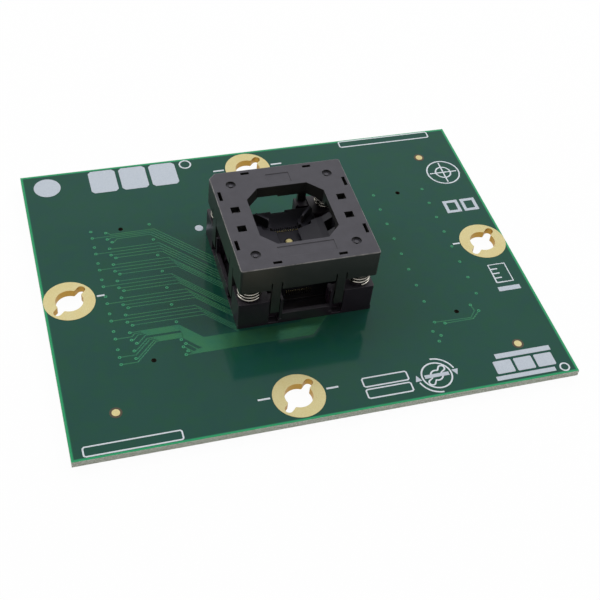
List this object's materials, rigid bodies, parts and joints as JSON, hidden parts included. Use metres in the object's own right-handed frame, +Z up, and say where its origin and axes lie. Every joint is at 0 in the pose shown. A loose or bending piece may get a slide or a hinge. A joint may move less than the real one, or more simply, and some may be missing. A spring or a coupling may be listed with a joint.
{
  "type": "programmer adapter socket",
  "caption": "Press-top square chip socket on a green card that twists onto a programmer by keyholes with gold collars.",
  "frame": {"origin": "below the middle of the card, at the height of the solder tips under it", "axes": "+X to the right along the card's front edge, +Y to the back, +Z up out of the card's face"},
  "size_m": [0.1082, 0.0826, 0.0202],
  "materials": {
    "solder_mask": "glossy green solder mask over glass fibre board",
    "gold_plate": "pale gold plating, satin",
    "contact_gold": "gold plated copper alloy, bright",
    "solder": "bright solder",
    "moulded_black": "black moulded plastic with a fine matte grain",
    "spring_steel": "polished steel wire",
    "shaft_steel": "ground steel"
  },
  "bodies": {
    "card": {"circuit_board": "solder_mask", "fiducial_marks": "gold_plate", "contact_pads_left": "gold_plate", "contact_pads_right": "gold_plate", "solder_joints": "solder", "socket_base": "moulded_black", "tail_guide": "moulded_black", "contact_housing": "moulded_black", "ground_pin_barrel": "gold_plate", "ground_pin_spring": "spring_steel", "lock_ring_front": "gold_plate", "contact_row_front": "contact_gold", "lock_ring_right": "gold_plate", "contact_row_right": "contact_gold", "lock_ring_back": "gold_plate", "contact_row_back": "contact_gold", "lock_ring_left": "gold_plate", "contact_row_left": "contact_gold", "latch_shaft_left": "shaft_steel", "latch_spring_left": "spring_steel", "latch_shaft_right": "shaft_steel", "latch_spring_right": "spring_steel", "cover_spring_front_left": "spring_steel", "nest_spring_front_left": "spring_steel", "cover_spring_front_right": "spring_steel", "nest_spring_front_right": "spring_steel", "cover_spring_back_left": "spring_steel", "nest_spring_back_left": "spring_steel", "cover_spring_back_right": "spring_steel", "nest_spring_back_right": "spring_steel"},
    "cover": {"cover": "moulded_black"},
    "latch_left": {"latch_left": "moulded_black"},
    "latch_right": {"latch_right": "moulded_black"},
    "nest": {"package_nest": "moulded_black"},
    "ground_pin": {"ground_pin": "gold_plate"}
  },
  "joints": [
    {"name": "cover_press", "type": "slide", "parent": "card", "child": "cover", "axis": [0, 0, -1], "range_m": [0, 0.003], "stiffness_N_per_m": 3500, "springref_m": -0.002, "deforming": ["cover_spring_front_left", "cover_spring_front_right", "cover_spring_back_left", "cover_spring_back_right"]},
    {"name": "latch_left_turn", "type": "hinge", "parent": "card", "child": "latch_left", "pos_m": [-0.0098, 0, 0.01], "axis": [0, -1, 0], "range_deg": [0, 32.2]},
    {"name": "latch_right_turn", "type": "hinge", "parent": "card", "child": "latch_right", "pos_m": [0.0098, 0, 0.01], "axis": [0, 1, 0], "range_deg": [0, 32.2]},
    {"name": "nest_float", "type": "slide", "parent": "card", "child": "nest", "axis": [0, 0, -1], "range_m": [0, 0.0004], "stiffness_N_per_m": 2500, "springref_m": -0.0005, "deforming": ["nest_spring_front_left", "nest_spring_front_right", "nest_spring_back_left", "nest_spring_back_right"]},
    {"name": "ground_pin_press", "type": "slide", "parent": "card", "child": "ground_pin", "axis": [0, 0, -1], "range_m": [0, 0.0005], "stiffness_N_per_m": 700, "springref_m": -0.0015, "deforming": ["ground_pin_spring"]}
  ],
  "couplings": [
    {"joint": "latch_left_turn", "follows": "cover_press", "rad_per_m": 186.17},
    {"joint": "latch_right_turn", "follows": "cover_press", "rad_per_m": 186.17}
  ]
}
